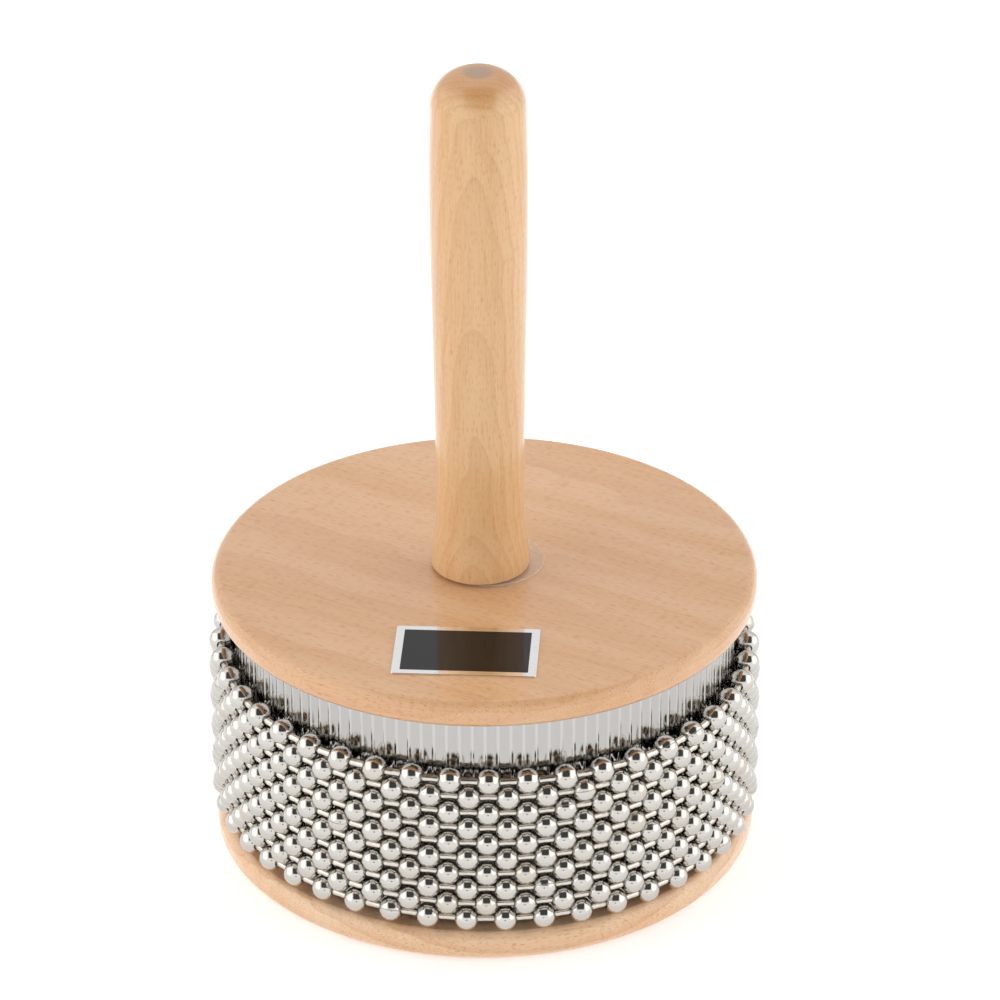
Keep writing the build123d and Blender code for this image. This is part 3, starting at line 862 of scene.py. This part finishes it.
class CABASA_OT_trim(bpy.types.Operator):
    """Models the clear washer and the bare foil plate, and finishes the fasteners and the core"""
    bl_idname = "cabasa.trim"
    bl_label = "Washer, foil plate and fasteners"

    def execute(self, context):
        settings = context.scene.cabasa_trim
        self.washer(settings)
        self.plate(settings)
        steel = metal_material("fastener_zinc", settings.steel_colour, 0.28, marks=0.15)
        brass = metal_material("insert_brass", settings.brass_colour, 0.3)
        colours = (settings.core_colour, settings.core_colour, context.scene.cabasa_discs.fleck_colour)
        bare = wood_material(
            "core_bare_wood", colours, rotation=(0.0, 0.0, 0.0), pith=(0.0, 0.0, -90.0), spacing=3.0,
            fleck=(3.0, 0.6, 0.6), ring_depth=0.35, fleck_depth=0.5, lacquer=0.6,
        )
        finishes = {
            "tie_bolt": steel, "tie_bolt_washer": steel, "handle_insert": brass, "core_drum": bare,
            "top_disc_dowels": bare, "bottom_disc_dowels": bare,
        }
        for node, material in finishes.items():
            slots = frame["nodes"][node].data.materials
            slots.clear()
            slots.append(material)
        return {"FINISHED"}

    def washer(self, settings):
        """Flat ring with rounded edges, just above the disc that it lies on."""
        low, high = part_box("handle_pad_washer")
        lift = 0.02 * MM
        edge = (high.z - low.z - lift) / 2
        outer = corner_arc(settings.washer_radius - edge, low.z + lift + edge, edge, -90, 90, 9)
        inner = corner_arc(settings.washer_bore + edge, low.z + lift + edge, edge, 90, 270, 9)
        points, faces = turned(np.vstack([outer, inner]), STEPS["washer"], True)
        middle = (low + high) / 2
        centre = np.array([middle.x - settings.washer_slip, middle.y, 0.0])
        rim = np.hypot(points[:, 0], points[:, 1]) / settings.washer_radius
        points = points + centre
        material, graph, shader = start_material("clear_plastic")
        wear = graph.group(wear_group(), {"Place": place_in_mm(graph)})
        graph.feed(shader["Roughness"], graph.between(wear["Smudges"], 0.0, 1.0, 0.16, 0.3))
        shader["Base Color"].default_value = rgba(settings.washer_colour)
        # Painted highlight: the whitish plastic is made more opaque towards its outer edge, standing for the
        # light line along the clear rim
        graph.feed(shader["Alpha"], graph.between(graph.attribute("rim"), 0.975, 1.0, 0.11, 0.3))
        add_piece(
            "pad_washer_clear", points, faces, material, DRUM, ["handle_pad_washer"],
            values={"rim": rim},
        )

    def plate(self, settings):
        """Foil plate with a thin edge bevel, and a dark glossy field on it that leaves a silver border."""
        low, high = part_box("label_plate")
        middle = (low + high) / 2
        width, depth = settings.plate_width, settings.plate_depth
        foil = metal_material("label_foil", settings.foil_colour, 0.07, marks=0.05)
        bevel = 0.05 * MM
        rings = [(0.0, low.z), (0.0, high.z - bevel), (bevel, high.z)]
        points, faces = slab(width, depth, settings.plate_corner, rings, settings.plate_turn, middle)
        add_piece("label_foil", points, faces, foil, DRUM, ["label_plate"], sharp=12.0)
        material, graph, shader = start_material("label_field")
        wear = graph.group(wear_group(), {"Place": place_in_mm(graph)})
        paler = rgba([3.0 * part for part in settings.field_colour])
        speck = graph.math("MULTIPLY", wear["Specks"], 0.25)
        graph.feed(shader["Base Color"], graph.mix(speck, rgba(settings.field_colour), paler))
        graph.feed(shader["Roughness"], graph.between(wear["Smudges"], 0.0, 1.0, 0.06, 0.14))
        shader["Specular IOR Level"].default_value = 0.35
        rise = settings.field_height
        rings = [(0.0, high.z), (0.0, high.z + 0.5 * rise), (rise, high.z + rise)]
        width -= 2 * settings.border_side
        depth -= 2 * settings.border_front
        points, faces = slab(width, depth, settings.field_corner, rings, settings.plate_turn, middle)
        add_piece("label_field", points, faces, material, DRUM, sharp=12.0)


def slab(width, depth, corner, rings, turn_angle, middle):
    """Rounded rectangle carried up through rings of (inset, height) and capped below and above by fans."""
    steps = 6
    quarter = np.radians(np.linspace(0, 90, steps))
    angle = np.concatenate([quarter + k * pi / 2 for k in range(4)])
    sides = np.repeat([(1, 1), (-1, 1), (-1, -1), (1, -1)], steps, axis=0)
    centre = sides * np.array([width / 2 - corner, depth / 2 - corner])
    outward = np.stack([np.cos(angle), np.sin(angle)], -1)
    inset, height = np.array(rings).T
    flat = centre[:, None] + outward[:, None] * (corner - inset)[None, :, None]
    rows = np.broadcast_to(height, flat.shape[:2])
    points = np.concatenate([flat, rows[..., None]], -1).reshape(-1, 3)
    points, fans = capped(points, len(rings), height[0], height[-1])
    faces = [grid_faces(len(angle), len(rings), False), *fans]
    spin = np.array([[cos(turn_angle), sin(turn_angle)], [-sin(turn_angle), cos(turn_angle)]])
    points[:, :2] = points[:, :2] @ spin + np.array([middle.x, middle.y])
    return points, faces


# Stage

# Parts of the tent on the mirror ball: the middle, half the size, and how square the part is
OPENING = (0.03, 0.25), (0.295, 0.28), 6.0
LENS = (0.0, -0.22), (0.05, 0.06), 2.0
LEFT_PANEL = (-0.53, 0.18), (0.2, 0.34), 3.0
RIGHT_PANEL = (0.56, 0.18), (0.2, 0.34), 3.0


class CABASA_OT_stage(bpy.types.Operator):
    """Sets the white floor, the tent's light and the camera"""
    bl_idname = "cabasa.stage"
    bl_label = "Stage"

    def execute(self, context):
        settings = context.scene.cabasa_stage
        self.floor(settings)
        self.tent(settings)
        self.camera(settings)
        context.scene.view_settings.view_transform = "Standard"
        return {"FINISHED"}

    def floor(self, settings):
        """Square floor just under the cabasa, white to the camera but for the shadow, clear from below."""
        half = settings.floor_size / 2
        depth = -settings.floor_depth
        corners = [(-half, -half, depth), (half, -half, depth), (half, half, depth), (-half, half, depth)]
        mesh = bpy.data.meshes.new("floor")
        mesh.from_pydata(corners, [], [(0, 1, 2, 3)])
        material, graph, shader = start_material("floor_white")
        shader["Base Color"].default_value = rgba(settings.floor_colour)
        shader["Roughness"].default_value = 0.9
        shader["Specular IOR Level"].default_value = 0.0
        seen = graph.math(
            "MAXIMUM",
            graph.add("ShaderNodeLightPath", out="Is Camera Ray"),
            graph.add("ShaderNodeLightPath", out="Is Glossy Ray"),
        )
        shader["Emission Color"].default_value = (1.0, 1.0, 1.0, 1.0)
        glow = graph.between(seen, 0.0, 1.0, settings.floor_glow, settings.floor_lift)
        graph.feed(shader["Emission Strength"], glow)
        nodes = material.node_tree.nodes
        below = graph.add("ShaderNodeNewGeometry", out="Backfacing")
        clear = graph.add("ShaderNodeBsdfTransparent")
        white = nodes["Principled BSDF"].outputs["BSDF"]
        surface = graph.add("ShaderNodeMixShader", None, {0: below, 1: white, 2: clear})
        graph.feed(nodes["Material Output"].inputs["Surface"], surface)
        mesh.materials.append(material)
        floor = bpy.data.objects.new("floor", mesh)
        bpy.context.scene.collection.objects.link(floor)

    def tent(self, settings):
        """White tent as a world: walls, a soft panel at each side, a dark opening and the dark lens.

        Its parts are laid out as a mirror ball shows them to the camera. A direction d is mirrored where the
        ball's normal is d plus the direction to the camera, made unit length, so its place across and up is
        d's part along the two axes over the square root of 2 plus 2 times its part towards the camera.
        """
        world = bpy.data.worlds.new("tent")
        world.use_nodes = True
        bpy.context.scene.world = world
        graph = Graph(world.node_tree)
        direction = graph.add("ShaderNodeTexCoord", out="Generated")
        rise = settings.tent_rise
        towards = graph.vector("DOT_PRODUCT", direction, (0.0, -cos(rise), sin(rise)), out="Value")
        square = graph.math("MAXIMUM", graph.math("MULTIPLY_ADD", towards, 2.0, 2.0), 0.01)
        length = graph.math("SQRT", square)
        axes = (1.0, 0.0, 0.0), (0.0, sin(rise), cos(rise))
        parts = [graph.vector("DOT_PRODUCT", direction, axis, out="Value") for axis in axes]
        place = [graph.math("DIVIDE", part, length) for part in parts]
        opening, lens, left, right = (
            self.window(graph, place, *part) for part in (OPENING, LENS, LEFT_PANEL, RIGHT_PANEL)
        )
        opening = graph.math("MAXIMUM", opening, lens)
        panels = graph.math("MAXIMUM", left, right)
        walls = graph.between(towards, -0.8, 0.4, settings.back_level, settings.tent_level)
        walls = graph.math("MAXIMUM", walls, graph.math("MULTIPLY", panels, settings.panel_level))
        walls = graph.math("MULTIPLY", walls, graph.math("SUBTRACT", 1.0, opening))
        strength = graph.math("MAXIMUM", walls, settings.opening_level)
        seen = graph.add("ShaderNodeLightPath", out="Is Camera Ray")
        keep = graph.math("MULTIPLY", strength, graph.math("SUBTRACT", 1.0, seen))
        background = world.node_tree.nodes["Background"]
        background.inputs["Color"].default_value = (1.0, 1.0, 1.0, 1.0)
        graph.feed(background.inputs["Strength"], graph.math("ADD", keep, seen))

    def window(self, graph, place, middle, half, power):
        """1 inside a rounded rectangle, where the sum of the offsets' powers is below 1, and 0 outside."""
        total = 0.0
        for value, centre, reach in zip(place, middle, half):
            offset = graph.math("DIVIDE", graph.math("SUBTRACT", value, centre), reach)
            offset = graph.math("ABSOLUTE", offset)
            total = graph.math("ADD", graph.math("POWER", offset, power), total)
        return graph.between(total, 1.0 + 0.06 * power, 1.0 - 0.06 * power)

    def camera(self, settings):
        """Camera in front of the drum, above it, looking down at it."""
        data = bpy.data.cameras.new("camera")
        data.lens = settings.lens
        data.sensor_width = 36.0
        data.clip_end = 20.0
        camera = bpy.data.objects.new("camera", data)
        camera.location = (0.0, -settings.camera_back, settings.camera_height)
        pitch, yaw = settings.camera_pitch, settings.camera_yaw
        ahead = Vector((sin(yaw) * cos(pitch), cos(yaw) * cos(pitch), -sin(pitch)))
        aim = ahead.to_track_quat("-Z", "Y") @ Quaternion((0.0, 0.0, 1.0), settings.camera_roll)
        camera.rotation_euler = aim.to_euler()
        bpy.context.scene.collection.objects.link(camera)
        bpy.context.scene.camera = camera


class CABASA_PT_pieces(bpy.types.Panel):
    """Lists the steps that build the cabasa"""
    bl_idname = "CABASA_PT_pieces"
    bl_label = "Cabasa"
    bl_space_type = "VIEW_3D"
    bl_region_type = "UI"
    bl_category = "Cabasa"

    def draw(self, context):
        for operator in OPERATORS:
            self.layout.operator(operator.bl_idname)


OPERATORS = (
    CABASA_OT_discs,
    CABASA_OT_handle,
    CABASA_OT_sleeve,
    CABASA_OT_chains,
    CABASA_OT_trim,
    CABASA_OT_stage,
)
CLASSES = (*SETTINGS.values(), *OPERATORS, CABASA_PT_pieces)


def register():
    for item in CLASSES:
        bpy.utils.register_class(item)
    for name, group in SETTINGS.items():
        setattr(bpy.types.Scene, name, PointerProperty(type=group))


def unregister():
    for name in SETTINGS:
        delattr(bpy.types.Scene, name)
    for item in reversed(CLASSES):
        bpy.utils.unregister_class(item)


def main():
    register()
    bpy.ops.cabasa.discs()
    bpy.ops.cabasa.handle()
    bpy.ops.cabasa.sleeve()
    bpy.ops.cabasa.chains()
    bpy.ops.cabasa.trim()
    bpy.ops.cabasa.stage()
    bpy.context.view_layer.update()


if __name__ == "__main__":
    main()
